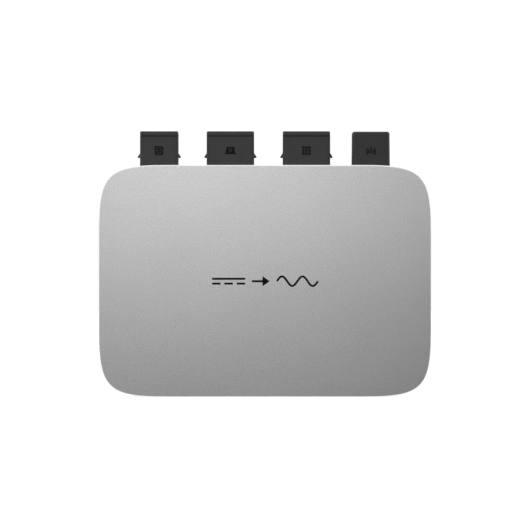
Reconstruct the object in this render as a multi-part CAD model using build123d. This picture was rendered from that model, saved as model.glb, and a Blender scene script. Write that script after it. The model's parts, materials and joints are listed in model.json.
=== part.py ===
from build123d import *
import math
import os

# A flat grid-tie micro inverter, standing on its lower edge, with its front towards -Y and its four
# ports upwards. An anodised front cover closes a die-cast finned rear housing. Three plug sockets and an
# antenna stub pass through the housing's top wall and are held from inside. A board with the power
# electronics stands behind the cover. All sizes are in millimetres. The origin is the centre of the
# housing's foot print, on the surface it stands on.

# ---------------------------------------------------------------- driving dimensions

WIDTH = 242.0            # housing, side to side
HEIGHT = 168.6           # housing, without the ports
DEPTH = 30.0             # front of the cover to the back of the housing
CORNER_REACH = 48.0      # how far each corner's curve runs along its two sides
CORNER_DEPTH = 8.5       # how far the middle of a corner's curve lies in from both sides

FRONT = -DEPTH / 2
BACK = DEPTH / 2
COVER_RIM = FRONT + 3.4          # back of the cover's rim
COVER_SKIN = FRONT + 1.8         # back of the cover's plate
COVER_CHAMFER = 0.75
TRAY_RIM = COVER_RIM + 0.6       # the gasket fills the gap
TRAY_FLOOR = BACK - 6.0          # inside of the rear wall
TRAY_WALL = 2.4
TRAY_ROUND = 3.0
DECK = HEIGHT - 6.0              # underside of the thick top wall that the ports pass through
DECK_REACH = 104.0               # the thick stretch of the top wall, each side of the middle

BOARD_FRONT = -9.4
BOARD_BACK = -7.8
BOARD_INSET = 7.0
BOARD_TOP = 138.0
PART_LIMIT = TRAY_FLOOR - 0.8    # components stop here, and a gap pad fills the rest

SEAM_BREAK = 0.25                # chamfer on both sides of the seam
EDGE_BREAK = 0.35                # chamfer on the mouths of slots and holes in the back
FIN_DEPTH = 3.5
FIN_PITCH = 7.0
FIN_SLOT = 4.0
FIN_REACH = 84.0
FIN_LOW, FIN_HIGH = 26.0, 142.0
LABEL_WIDTH, LABEL_HEIGHT = 70.0, 44.0
LABEL_MIDDLE = (FIN_LOW + FIN_HIGH) / 2
ISLAND_EDGE = 7.0                # plain metal left round the label

MOUNT_X, MOUNT_LOW, MOUNT_HIGH = 100.0, 34.0, 134.0
MOUNT_RADIUS = 2.1               # tapping size of an M5 thread
MOUNT_DEPTH = 9.0

PORT_DEPTH = 15.0                # front to back
PORT_Y = -1.1
PORT_ROUND = 2.2
PORT_RISE = 24.8                 # above the housing
PORT_TOP = HEIGHT + PORT_RISE
PORT_PLAY = 0.1                  # between a port and its hole
PORT_WALL = 1.8
MOUTH_BREAK = 0.4                # chamfer on the inner edge of the mouth
CAVITY_FLOOR = HEIGHT + 4.8
RIM_BAND = 2.7                   # above the seal
RIM_TAPER = 0.15
SEAL_HEIGHT = 1.45
SEAL_THICKNESS = 0.9
FLANGE_TOP = DECK - 1.0
FLANGE_BOTTOM = FLANGE_TOP - 3.0
FLANGE_EAR = 7.0                 # flange beyond each end of the port
FLANGE_LIP = 1.8                 # flange beyond the port's front and back
EAR_SCREW = 3.6                  # screw beyond the end of the port
CORE_DROP = 4.0                  # insulator below the flange

SOCKET_X = {"ac": -77.1, "battery": -25.2, "solar": 30.2}
SOCKET_WIDTH = {"ac": 27.9, "battery": 34.6, "solar": 34.6}
ANTENNA_X, ANTENNA_WIDTH, ANTENNA_RISE = 77.1, 27.9, 24.6

# Contacts of each socket: x and y from the socket's middle, radius, and height over the floor
CONTACTS = {
    "ac": [(-7.6, 0, 1.5, 11), (0, 0, 1.5, 12.5), (7.6, 0, 1.5, 11)],
    "battery": [(-10.6, 0, 2.1, 12), (10.6, 0, 2.1, 12)]
    + [(x, y, 0.6, 9) for x in (-3.6, 0, 3.6) for y in (-2.0, 2.0)],
    "solar": [(x, 0, 1.5, 11.5) for x in (-11.4, -3.8, 3.8, 11.4)],
}
KEYS = {"ac": [-4.0, 4.0], "battery": [-7.0, 0.0, 7.0], "solar": [-7.6, 7.6]}
KEY_PROUD = 0.9
KEY_TOP = HEIGHT + 14.3
LEAD_RADIUS = 1.7
SIGNAL_LEAD_RADIUS = 0.7
POWER_CONTACT = 1.0              # contacts thicker than this carry power

BARB_LOW = HEIGHT + 5.6
BARB_STRAIGHT = 0.9
BARB_HEIGHT = 3.5
BARB_PROUD = 1.7
BARB_WIDTH = 5.0

SCREW_LOW = 9.5
COVER_SCREWS = [(x, z) for x in (-105, 105) for z in (16, HEIGHT - 16)]
COVER_SCREWS += [(x, SCREW_LOW) for x in (-40, 40)]
COVER_SCREWS += [(x, HEIGHT / 2) for x in (-112.5, 112.5)]
COVER_SCREWS += [(x, HEIGHT - 17.4) for x in (-52.6, 55.0)]
BOSS_RADIUS = 3.6
BOSS_MEETING = -6.0              # cover bosses and housing bosses meet here
M3 = 1.5
COUNTERBORE = (3.1, 3.2)         # radius, depth

BOARD_POSTS = [(-92, 46), (92, 46), (-92, 122), (92, 122), (0, 34), (-8, 128)]
POST_RADIUS = 3.0
BOARD_POCKET = 1.0               # clearance round whatever passes the board

VENT = (0.0, 13.5)
VENT_POCKET = (6.1, 2.4)         # radius, depth

BUTTON_X = ANTENNA_X + 5.5
LIGHT_X = ANTENNA_X - 5.5
BUTTON_RADIUS = 3.0
ANTENNA_SKIN = 1.6
ANTENNA_LID = ANTENNA_SKIN + 0.6  # thickness of the stub's top
ANTENNA_TOP = HEIGHT + ANTENNA_RISE
SWITCH_TOP = ANTENNA_TOP - 5.2
STEM_END = ANTENNA_TOP - 4.6     # the button's stem starts here, on the plunger
RADIO_TOP = HEIGHT + 17.0
EAR_HOLE = 1.4
FLANGE_ROUND = 2.5
TAIL = 3.0                       # solder tails under the insulator


# ---------------------------------------------------------------- helpers

def along_y(sketch, y_front, y_back):
    """A sketch drawn in x and z, made solid from y_front to y_back."""
    plane = Plane(origin=(0, y_back, 0), x_dir=(1, 0, 0), z_dir=(0, -1, 0))
    return extrude(plane * sketch, y_back - y_front)


def outline(inset=0.0):
    """The housing's outline: four sides joined by corners whose curvature grows gently from nothing."""
    half = WIDTH / 2 - inset
    low, high = inset, HEIGHT - inset
    reach = CORNER_REACH - inset
    deep = CORNER_DEPTH - (1 - math.sqrt(0.5)) * inset
    slack = reach - (4 * reach - 8 * deep) / 3
    edges = Curve()
    for side in (-1, 1):
        edges += Line((side * half, low + reach), (side * half, high - reach))
        for level, way in ((low, 1), (high, -1)):
            edges += Bezier(
                (side * half, level + way * reach),
                (side * half, level + way * slack),
                (side * (half - slack), level),
                (side * (half - reach), level),
            )
    for level in (low, high):
        edges += Line((-half + reach, level), (half - reach, level))
    return make_face(edges)


def disc(x, z, radius):
    """A circle at x, z for along_y."""
    return Pos(x, z) * Circle(radius)


def block(x, y, z):
    """A box from three (low, high) pairs."""
    size = [b - a for a, b in (x, y, z)]
    middle = [(a + b) / 2 for a, b in (x, y, z)]
    return Pos(*middle) * Box(*size)


def bar(middle_x, width, depth, radius, low, high):
    """An upright bar with rounded corners, at the ports' place in the depth."""
    return extrude(Pos(middle_x, PORT_Y, low) * RectangleRounded(width, depth, radius), high - low)


def rod(x, y, low, high, radius):
    """An upright round rod."""
    return Pos(x, y, (low + high) / 2) * Cylinder(radius, high - low)


def star(radius):
    """The six-lobed recess of a screw head."""
    points = []
    for k in range(12):
        reach = radius if k % 2 == 0 else radius * 0.72
        points.append((reach * math.cos(math.pi * k / 6), reach * math.sin(math.pi * k / 6)))
    return Polygon(*points, align=None)


def group(solids):
    """Separate solids that share one node."""
    return Compound(children=list(solids))


def write(name, shape):
    """Writes one node."""
    export_step(shape, f"parts/{name}.step")


# ---------------------------------------------------------------- housing

def make_front_cover():
    """Shallow anodised dish with a bright chamfer and ten blind screw bosses."""
    cover = along_y(outline(), FRONT, COVER_RIM)
    cover = chamfer(cover.faces().sort_by(Axis.Y)[0].edges(), COVER_CHAMFER)
    cover = chamfer(cover.faces().sort_by(Axis.Y)[-1].edges(), SEAM_BREAK)
    cover -= along_y(outline(TRAY_WALL), COVER_SKIN, COVER_RIM)
    for x, z in COVER_SCREWS:
        cover += along_y(disc(x, z, BOSS_RADIUS), COVER_SKIN, BOSS_MEETING)
        cover -= along_y(disc(x, z, M3), COVER_SKIN + 1.2, BOSS_MEETING)
    return cover


def fin_slots():
    """Upright cooling slots in the back, broken by the plain island that carries the label."""
    slots = []
    count = round(2 * FIN_REACH / FIN_PITCH)
    island_x = LABEL_WIDTH / 2 + ISLAND_EDGE
    island_low = LABEL_MIDDLE - LABEL_HEIGHT / 2 - ISLAND_EDGE
    island_high = LABEL_MIDDLE + LABEL_HEIGHT / 2 + ISLAND_EDGE
    for k in range(count + 1):
        x = -FIN_REACH + k * FIN_PITCH
        stretches = [(FIN_LOW, FIN_HIGH)]
        if abs(x) < island_x:
            stretches = [(FIN_LOW, island_low), (island_high, FIN_HIGH)]
        for low, high in stretches:
            slot = Pos(x, (low + high) / 2) * SlotOverall(high - low, FIN_SLOT, rotation=90)
            slots.append(along_y(slot, BACK - FIN_DEPTH, BACK))
    return slots


def make_rear_housing():
    """Die-cast tray: finned back, thick top wall with four port holes, bosses and board posts inside."""
    body = along_y(outline(), TRAY_RIM, BACK)
    body = fillet(body.faces().sort_by(Axis.Y)[-1].edges(), TRAY_ROUND)
    body = chamfer(body.faces().sort_by(Axis.Y)[0].edges(), SEAM_BREAK)
    hollow = along_y(outline(TRAY_WALL), TRAY_RIM, TRAY_FLOOR)
    hollow -= block((-DECK_REACH, DECK_REACH), (TRAY_RIM - 1, BACK), (DECK, HEIGHT + 1))
    body -= hollow
    for x, z in COVER_SCREWS:
        body += along_y(disc(x, z, BOSS_RADIUS), BOSS_MEETING, TRAY_FLOOR)
    for x, z in BOARD_POSTS:
        body += along_y(disc(x, z, POST_RADIUS), BOARD_BACK, TRAY_FLOOR)
    for x in (-MOUNT_X, MOUNT_X):
        for z in (MOUNT_LOW, MOUNT_HIGH):
            body += along_y(disc(x, z, 5.0), BACK - MOUNT_DEPTH - 2, TRAY_FLOOR)
    cuts = fin_slots()
    for x, z in COVER_SCREWS:
        cuts.append(along_y(disc(x, z, M3 + 0.1), BOSS_MEETING, BACK))
        cuts.append(along_y(disc(x, z, COUNTERBORE[0]), BACK - COUNTERBORE[1], BACK))
    for x, z in BOARD_POSTS:
        cuts.append(along_y(disc(x, z, M3), BOARD_BACK, BOARD_BACK + 7))
    for x in (-MOUNT_X, MOUNT_X):
        for z in (MOUNT_LOW, MOUNT_HIGH):
            cuts.append(along_y(disc(x, z, MOUNT_RADIUS), BACK - MOUNT_DEPTH, BACK))
    cuts.append(along_y(disc(*VENT, VENT_POCKET[0]), BACK - VENT_POCKET[1], BACK))
    cuts.append(along_y(disc(*VENT, 3.0), TRAY_FLOOR, BACK))
    for middle, width in port_places():
        cuts.append(bar(middle, width + 2 * PORT_PLAY, PORT_DEPTH + 2 * PORT_PLAY, PORT_ROUND + PORT_PLAY,
                        DECK - 1, HEIGHT + 1))
        for x in ear_places(middle, width):
            cuts.append(rod(x, PORT_Y, DECK - 1, DECK + 3.7, 1.27))
    for transistor in transistor_places():
        cuts.append(along_y(disc(transistor, CLAMP_Z, M3), TRAY_FLOOR, TRAY_FLOOR + 2.2))
    body -= cuts
    back_face = body.faces().sort_by(Axis.Y)[-1]
    body = chamfer([edge for wire in back_face.inner_wires() for edge in wire.edges()], EDGE_BREAK)
    label = Pos(0, LABEL_MIDDLE) * RectangleRounded(LABEL_WIDTH + 0.4, LABEL_HEIGHT + 0.4, 3.2)
    return body - along_y(label, BACK - 0.3, BACK)


def port_places():
    """Middle and width of each of the four ports."""
    places = [(SOCKET_X[name], SOCKET_WIDTH[name]) for name in SOCKET_X]
    return places + [(ANTENNA_X, ANTENNA_WIDTH)]


def ear_places(middle, width):
    """Where the two flange screws of a port stand."""
    return (middle - width / 2 - EAR_SCREW, middle + width / 2 + EAR_SCREW)


def make_cover_gasket():
    """Flat silicone ring between cover and housing, drawn in a little, so that it shows as a fine line."""
    ring = along_y(outline(0.5), COVER_RIM, TRAY_RIM)
    return ring - along_y(outline(TRAY_WALL), COVER_RIM, TRAY_RIM)


def make_cover_screws():
    """Ten M3 screws that come in from the back."""
    screws = []
    head_back = BACK - 0.4
    seat = BACK - COUNTERBORE[1]
    for x, z in COVER_SCREWS:
        screw = along_y(disc(x, z, M3 - 0.02), COVER_SKIN + 2.2, seat)
        screw += along_y(disc(x, z, 2.75), seat, head_back)
        screw = chamfer(screw.faces().sort_by(Axis.Y)[-1].edges(), 0.35)
        screw -= along_y(Pos(x, z) * star(1.4), head_back - 1.6, head_back)
        screws.append(screw)
    return group(screws)


def make_rating_label():
    """Blank label in its shallow recess."""
    sheet = Pos(0, LABEL_MIDDLE) * RectangleRounded(LABEL_WIDTH, LABEL_HEIGHT, 3.0)
    return along_y(sheet, BACK - 0.3, BACK - 0.1)


def make_vent_body():
    """Pressure vent: a cap with side slots over a hollow stem through the rear wall."""
    pocket = BACK - VENT_POCKET[1]
    cap = along_y(disc(*VENT, 5.4), pocket, BACK - 0.3)
    cap = fillet(cap.faces().sort_by(Axis.Y)[-1].edges(), 0.6)
    for turn in range(0, 180, 60):
        slot = Pos(*VENT) * Rot(0, 0, turn) * Rectangle(12, 1.2)
        cap -= along_y(slot, pocket + 0.5, pocket + 1.1)
    cap += along_y(disc(*VENT, 2.95), TRAY_FLOOR - 1.2, pocket)
    cap -= along_y(disc(*VENT, 1.8), TRAY_FLOOR - 1.2, pocket + 0.6)
    return cap


def make_vent_membrane():
    """Breathable disc inside the vent's stem."""
    return along_y(disc(*VENT, 1.8), pocket_floor() - 0.8, pocket_floor() - 0.4)


def pocket_floor():
    """Depth at which the vent's cap sits."""
    return BACK - VENT_POCKET[1]


# ---------------------------------------------------------------- sockets

def make_socket_shell(name):
    """Moulded socket: rounded tube with two latch noses, a groove for the ring seal and a flange inside."""
    middle, width = SOCKET_X[name], SOCKET_WIDTH[name]
    half = PORT_DEPTH / 2
    neck = PORT_TOP - RIM_BAND
    lower = Pos(middle, PORT_Y, neck) * RectangleRounded(width, PORT_DEPTH, PORT_ROUND)
    upper = Pos(middle, PORT_Y, PORT_TOP) * RectangleRounded(
        width - 0.2, PORT_DEPTH - 2 * RIM_TAPER, PORT_ROUND)
    rim = loft([lower, upper])
    shell = fillet(rim.faces().sort_by(Axis.Z)[-1].edges(), 0.6)
    shell += bar(middle, width, PORT_DEPTH, PORT_ROUND, FLANGE_BOTTOM, neck)
    shell += bar(middle, width + 2 * FLANGE_EAR, PORT_DEPTH + 2 * FLANGE_LIP, FLANGE_ROUND,
                 FLANGE_BOTTOM, FLANGE_TOP)
    for side in (-1, 1):
        wall = middle + side * width / 2
        nose = Plane.XZ * Polygon(
            (wall - side, BARB_LOW), (wall + side * BARB_PROUD, BARB_LOW),
            (wall + side * BARB_PROUD, BARB_LOW + BARB_STRAIGHT), (wall, BARB_LOW + BARB_HEIGHT),
            (wall - side, BARB_LOW + BARB_HEIGHT), align=None)
        shell += Pos(0, PORT_Y, 0) * extrude(nose, BARB_WIDTH / 2, both=True)
    shell -= bar(middle, width - 2 * PORT_WALL, PORT_DEPTH - 2 * PORT_WALL, 1.2, CAVITY_FLOOR, PORT_TOP)
    shell -= bar(middle, width - 2 * PORT_WALL - 3, PORT_DEPTH - 2 * PORT_WALL - 3, 1.0,
                 FLANGE_BOTTOM, PORT_TOP)
    mouth = shell.edges().filter_by_position(Axis.Z, PORT_TOP, PORT_TOP)
    inner = [edge for edge in mouth if abs(edge.center().X - middle) < width / 2 - PORT_WALL + 0.1
             and abs(edge.center().Y - PORT_Y) < half - PORT_WALL + 0.1]
    shell = chamfer(inner, MOUTH_BREAK)
    inner_face = PORT_Y - half + PORT_WALL
    for offset in KEYS[name]:
        x = middle + offset
        shell += block((x - 0.7, x + 0.7), (inner_face - 0.5, inner_face + KEY_PROUD),
                       (CAVITY_FLOOR, KEY_TOP))
    shell -= seal_ring(name, 0.0)
    for x in ear_places(middle, width):
        shell -= rod(x, PORT_Y, FLANGE_BOTTOM, FLANGE_TOP, EAR_HOLE)
    return shell


def seal_ring(name, inset):
    """The ring that fills the shell's groove, or stands inset from the shell's face."""
    middle, width = SOCKET_X[name], SOCKET_WIDTH[name]
    high = PORT_TOP - RIM_BAND
    low = high - SEAL_HEIGHT
    ring = bar(middle, width + 1, PORT_DEPTH + 1, PORT_ROUND + 0.5, low, high)
    if inset > 0:
        ring = bar(middle, width - 2 * inset, PORT_DEPTH - 2 * inset, PORT_ROUND - inset, low, high)
    return ring - bar(middle, width - 2 * SEAL_THICKNESS, PORT_DEPTH - 2 * SEAL_THICKNESS,
                      PORT_ROUND - SEAL_THICKNESS, low, high)


def make_socket_core(name):
    """Insulator pushed in from below, with a collar round each power contact."""
    middle, width = SOCKET_X[name], SOCKET_WIDTH[name]
    inner_width, inner_depth = width - 2 * PORT_WALL - 3, PORT_DEPTH - 2 * PORT_WALL - 3
    low = FLANGE_BOTTOM - CORE_DROP
    core = bar(middle, inner_width, inner_depth, 1.0, low, CAVITY_FLOOR)
    core += bar(middle, inner_width + 3, inner_depth + 4, 1.5, low, FLANGE_BOTTOM)
    for dx, dy, radius, _ in CONTACTS[name]:
        if radius > POWER_CONTACT:
            core += rod(middle + dx, PORT_Y + dy, CAVITY_FLOOR, CAVITY_FLOOR + 3, radius + 1.1)
    for dx, dy, radius, _ in CONTACTS[name]:
        core -= rod(middle + dx, PORT_Y + dy, low, CAVITY_FLOOR + 3, radius)
    return core


def make_socket_contacts(name):
    """Round-nosed contacts, each with a solder tail under the insulator."""
    contacts = []
    for dx, dy, radius, height in CONTACTS[name]:
        top = CAVITY_FLOOR + height
        contact = rod(SOCKET_X[name] + dx, PORT_Y + dy, FLANGE_BOTTOM - CORE_DROP - TAIL, top, radius)
        contacts.append(fillet(contact.faces().sort_by(Axis.Z)[-1].edges(), radius * 0.7))
    return group(contacts)


def make_flange_gasket(middle, width):
    """Rubber gasket between a port's flange and the underside of the top wall."""
    sheet = bar(middle, width + 2 * FLANGE_EAR, PORT_DEPTH + 2 * FLANGE_LIP, FLANGE_ROUND,
                FLANGE_TOP, DECK)
    sheet -= bar(middle, width + 2 * PORT_PLAY, PORT_DEPTH + 2 * PORT_PLAY, PORT_ROUND + PORT_PLAY,
                 FLANGE_TOP, DECK)
    for x in ear_places(middle, width):
        sheet -= rod(x, PORT_Y, FLANGE_TOP, DECK, EAR_HOLE)
    return sheet


def make_port_screws():
    """Two small pan-head screws per port, driven up through the flange."""
    screws = []
    for middle, width in port_places():
        for x in ear_places(middle, width):
            screw = rod(x, PORT_Y, FLANGE_BOTTOM, DECK + 3.5, 1.25)
            screw += rod(x, PORT_Y, FLANGE_BOTTOM - 1.8, FLANGE_BOTTOM, 2.3)
            recess = Pos(x, PORT_Y, FLANGE_BOTTOM - 1.8) * star(1.0)
            screws.append(screw - extrude(recess, 1.0))
    return group(screws)


def make_leads(name):
    """Insulated leads from the contacts' tails, down and forward to the board."""
    leads = []
    start = FLANGE_BOTTOM - CORE_DROP - TAIL
    for dx, dy, radius, _ in CONTACTS[name]:
        power = radius > POWER_CONTACT
        thickness = LEAD_RADIUS if power else SIGNAL_LEAD_RADIUS
        x, y = SOCKET_X[name] + dx, PORT_Y + dy
        landing = (132.0 if power else 133.5) + 2 * (dy > 0)
        path = FilletPolyline((x, y, start), (x, y, landing), (x, BOARD_BACK, landing), radius=4.0)
        leads.append(sweep(Plane(origin=(x, y, start), z_dir=(0, 0, -1)) * Circle(thickness), path))
    return group(leads)


# ---------------------------------------------------------------- antenna stub

def antenna_form(inset, low, high):
    """The stub's gently tapered form, inset all round."""
    bottom = Pos(ANTENNA_X, PORT_Y, low) * RectangleRounded(
        ANTENNA_WIDTH - 2 * inset, PORT_DEPTH - 2 * inset, PORT_ROUND + 0.6 - inset)
    top = Pos(ANTENNA_X, PORT_Y, high) * RectangleRounded(
        ANTENNA_WIDTH - 0.6 - 2 * inset, PORT_DEPTH - 0.6 - 2 * inset, PORT_ROUND + 0.6 - inset)
    return loft([bottom, top])


def make_antenna_cap():
    """Closed plastic stub over the radio board, with a button hole and a light window in its top."""
    top = ANTENNA_TOP
    cap = antenna_form(0, DECK, top)
    cap = fillet(cap.faces().sort_by(Axis.Z)[-1].edges(), 1.8)
    cap += bar(ANTENNA_X, ANTENNA_WIDTH, PORT_DEPTH, PORT_ROUND + 0.6, FLANGE_BOTTOM, DECK)
    cap += bar(ANTENNA_X, ANTENNA_WIDTH + 2 * FLANGE_EAR, PORT_DEPTH + 2 * FLANGE_LIP, FLANGE_ROUND,
               FLANGE_BOTTOM, FLANGE_TOP)
    cap -= antenna_form(ANTENNA_SKIN, FLANGE_BOTTOM, top - ANTENNA_LID)
    for side in (-1, 1):
        edges = sorted((ANTENNA_X + side * 10.6, ANTENNA_X + side * 12.6))
        for y in (PORT_Y + 0.9, PORT_Y + 2.85):
            cap += block(edges, (y, y + 0.85), (FLANGE_BOTTOM + 2, RADIO_TOP))
    cap -= rod(BUTTON_X, PORT_Y, top - 6, top, BUTTON_RADIUS + 0.1)
    cap -= rod(LIGHT_X, PORT_Y, top - 6, top, 1.5)
    for x in ear_places(ANTENNA_X, ANTENNA_WIDTH):
        cap -= rod(x, PORT_Y, FLANGE_BOTTOM, FLANGE_TOP, EAR_HOLE)
    return cap


def make_antenna_board():
    """Upright radio board held behind the stub's front wall."""
    board = block((ANTENNA_X - 11.7, ANTENNA_X + 11.7), (PORT_Y + 1.8, PORT_Y + 2.8),
                  (FLANGE_BOTTOM + 2, RADIO_TOP))
    return board - Pos(ANTENNA_X, PORT_Y + 2.3, DECK) * Rot(90, 0, 0) * Cylinder(1.1, 3)


def make_antenna_track():
    """Stamped aerial strip soldered to the radio board: a folded loop."""
    front, back = PORT_Y + 1.5, PORT_Y + 1.8
    low, high = HEIGHT + 0.5, HEIGHT + 8.5
    track = block((ANTENNA_X - 9, ANTENNA_X + 9), (front, back), (low, high))
    for k in range(4):
        x = ANTENNA_X - 6.8 + 4 * k
        shift = 1.2 * (-1) ** k
        track -= block((x, x + 1.6), (front, back), (low - 0.3 + shift, high + 0.3 + shift))
    return track


def make_light_pipe():
    """Clear pipe from the lamp to the window."""
    low = ANTENNA_TOP - 4.5
    pipe = rod(LIGHT_X, PORT_Y, low, ANTENNA_TOP - 0.1, 1.45)
    return pipe + rod(LIGHT_X, PORT_Y, low, ANTENNA_TOP - 2.3, 2.2)


def make_status_lamp():
    """Side-looking lamp on the radio board, right under the pipe."""
    top = ANTENNA_TOP - 4.6
    return block((LIGHT_X - 1.5, LIGHT_X + 1.5), (PORT_Y - 1.2, PORT_Y + 1.8), (top - 2.2, top))


def make_tact_switch():
    """Square push switch on the radio board, opening upwards for its plunger."""
    case = block((BUTTON_X - 3, BUTTON_X + 3), (PORT_Y - 2.4, PORT_Y + 1.8), (SWITCH_TOP - 3.5, SWITCH_TOP))
    return case - rod(BUTTON_X, PORT_Y, SWITCH_TOP - 2.4, SWITCH_TOP, 1.25)


def make_switch_plunger():
    """The switch's own plunger, pushed by the button's stem."""
    return rod(BUTTON_X, PORT_Y, SWITCH_TOP - 1.6, STEM_END, 1.2)


def make_pairing_button():
    """Button cap with a retaining collar, a seal groove and a stem."""
    wall = ANTENNA_TOP - ANTENNA_LID
    button = rod(BUTTON_X, PORT_Y, wall - 0.1, ANTENNA_TOP - 0.25, BUTTON_RADIUS)
    button = fillet(button.faces().sort_by(Axis.Z)[-1].edges(), 0.3)
    button += rod(BUTTON_X, PORT_Y, wall - 0.9, wall - 0.1, BUTTON_RADIUS + 0.9)
    button += rod(BUTTON_X, PORT_Y, STEM_END, wall - 0.9, 1.2)
    groove = rod(BUTTON_X, PORT_Y, wall + 0.4, wall + 1.2, BUTTON_RADIUS + 1)
    return button - (groove - rod(BUTTON_X, PORT_Y, wall + 0.4, wall + 1.2, BUTTON_RADIUS - 0.7))


def make_button_seal():
    """Small ring in the button's groove that wipes the wall of the hole."""
    wall = ANTENNA_TOP - ANTENNA_LID
    ring = rod(BUTTON_X, PORT_Y, wall + 0.45, wall + 1.15, BUTTON_RADIUS + 0.06)
    return ring - rod(BUTTON_X, PORT_Y, wall + 0.45, wall + 1.15, BUTTON_RADIUS - 0.7)


def make_antenna_lead():
    """Thin coaxial lead from the radio board down to the main board."""
    x = ANTENNA_X
    y = PORT_Y + 1.2
    path = FilletPolyline((x, y, FLANGE_BOTTOM + 8), (x, y, 142), (x - 6, y - 1, 126),
                          (x - 6, BOARD_BACK, 126), radius=4.0)
    return sweep(Plane(origin=(x, y, FLANGE_BOTTOM + 8), z_dir=(0, 0, -1)) * Circle(0.6), path)


# ---------------------------------------------------------------- electronics

TRANSISTOR_X = [-84 + 24 * k for k in range(8)]
TRANSISTOR_LOW = 20.0
CLAMP_Z = 30.0


def transistor_places():
    """Middle of each clamp screw, between two transistors."""
    return [(TRANSISTOR_X[k] + TRANSISTOR_X[k + 1]) / 2 for k in range(0, 8, 2)]


def make_main_board():
    """Main board, cleared round the bosses and drilled for its screws."""
    sheet = outline(BOARD_INSET) & (Pos(0, BOARD_TOP / 2) * Rectangle(WIDTH, BOARD_TOP))
    board = along_y(sheet, BOARD_FRONT, BOARD_BACK)
    for x, z in COVER_SCREWS:
        board -= along_y(disc(x, z, BOSS_RADIUS + BOARD_POCKET), BOARD_FRONT, BOARD_BACK)
    for x, z in BOARD_POSTS:
        board -= along_y(disc(x, z, M3 + 0.1), BOARD_FRONT, BOARD_BACK)
    return board


def make_board_screws():
    """Pan-head screws into the housing's posts."""
    screws = []
    for x, z in BOARD_POSTS:
        screw = along_y(disc(x, z, M3 - 0.02), BOARD_FRONT, BOARD_BACK + 6)
        screw += along_y(disc(x, z, 2.8), BOARD_FRONT - 1.9, BOARD_FRONT)
        screws.append(screw - along_y(Pos(x, z) * star(1.3), BOARD_FRONT - 1.9, BOARD_FRONT - 0.7))
    return group(screws)


CAPACITOR_PLACES = [(-40 + 18 * k, 108) for k in range(2)] + [(-40 + 18 * k, 90) for k in range(2)]
FILM_PLACES = [(-72, 49.5), (8, 84), (56, 122)]
TRANSFORMER_PLACES = [(-38, 62), (8, 62)]
INDUCTOR_PLACES = [(24, 112), (56, 84)]
CHOKE_PLACE = (-78, 98)
RELAY_PLACES = [(-86, 67), (-68, 67)]
FUSE_PLACE = (-62, 123)
VARISTOR_PLACE = (-81, 123)
CONTROL_X, CONTROL_Z = (72, 102), (50, 112)
CONTROL_FRONT, CONTROL_BACK = 0.0, 1.2


def make_dc_link_capacitors():
    """Four electrolytic cans with a crimped neck and a scored top."""
    cans = []
    for x, z in CAPACITOR_PLACES:
        can = along_y(disc(x, z, 8.0), BOARD_BACK, PART_LIMIT)
        can = fillet(can.edges(), 0.8)
        neck = BOARD_BACK + 2.4
        can -= along_y(disc(x, z, 9.0) - disc(x, z, 7.4), neck, neck + 0.9)
        cans.append(can)
    return group(cans)


def make_film_capacitors():
    """Box-shaped suppression capacitors."""
    boxes = []
    for x, z in FILM_PLACES:
        box = block((x - 11, x + 11), (BOARD_BACK, BOARD_BACK + 13), (z - 5, z + 5))
        boxes.append(fillet(box.faces().sort_by(Axis.Y)[-1].edges(), 0.8))
    return group(boxes)


def transformer_parts(x, z):
    """Core, bobbin and winding of one transformer, with its axis front to back."""
    low, high = BOARD_BACK + 0.4, PART_LIMIT
    core = block((x - 19, x + 19), (low, high), (z - 11, z + 11))
    window = along_y(disc(x, z, 15.0), low + 3, high - 3)
    sides = block((x - 15, x + 15), (low + 3, high - 3), (z - 12, z + 12))
    core -= (window + sides)
    core += along_y(disc(x, z, 6.5), low + 3, high - 3)
    bobbin = along_y(disc(x, z, 14.6), low + 3.1, low + 4.1)
    bobbin += along_y(disc(x, z, 14.6), high - 4.1, high - 3.1)
    bobbin += along_y(disc(x, z, 7.6), low + 3.1, high - 3.1)
    bobbin -= along_y(disc(x, z, 6.6), low + 3, high - 3)
    winding = along_y(disc(x, z, 14.0), low + 4.1, high - 4.1)
    winding -= along_y(disc(x, z, 7.6), low + 4.1, high - 4.1)
    return core, bobbin, winding


def ring_core(x, z, outer, inner, low, high):
    """Toroidal core lying on the board."""
    core = along_y(disc(x, z, outer) - disc(x, z, inner), low, high)
    return fillet(core.edges(), 1.0)


def make_inductor_cores():
    """Powder cores of the two boost inductors."""
    return group(ring_core(x, z, 12, 6.5, BOARD_BACK + 2, BOARD_BACK + 13) for x, z in INDUCTOR_PLACES)


def ring_winding(x, z, outer, inner, low, high, gap, turn):
    """Winding layer round a ring core, open by a gap in degrees facing turn degrees."""
    layer = along_y(disc(x, z, outer + 1.5) - disc(x, z, inner - 1.5), low - 1.5, high + 1.5)
    layer -= along_y(disc(x, z, outer + 0.1) - disc(x, z, inner - 0.1), low - 0.1, high + 0.1)
    reach = outer + 8
    half = math.radians(gap / 2)
    wedge = Polygon((0, 0), (reach * math.cos(half), -reach * math.sin(half)),
                    (reach * math.cos(half), reach * math.sin(half)), align=None)
    return layer - along_y(Pos(x, z) * Rot(0, 0, turn) * wedge, low - 3, high + 3)


def make_inductor_windings():
    """Copper windings of the two boost inductors."""
    return group(ring_winding(x, z, 12, 6.5, BOARD_BACK + 2, BOARD_BACK + 13, 40, 270)
                 for x, z in INDUCTOR_PLACES)


def make_choke_core():
    """Ferrite ring of the common-mode choke."""
    return ring_core(*CHOKE_PLACE, 13, 7, BOARD_BACK + 2, BOARD_BACK + 12)


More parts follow.
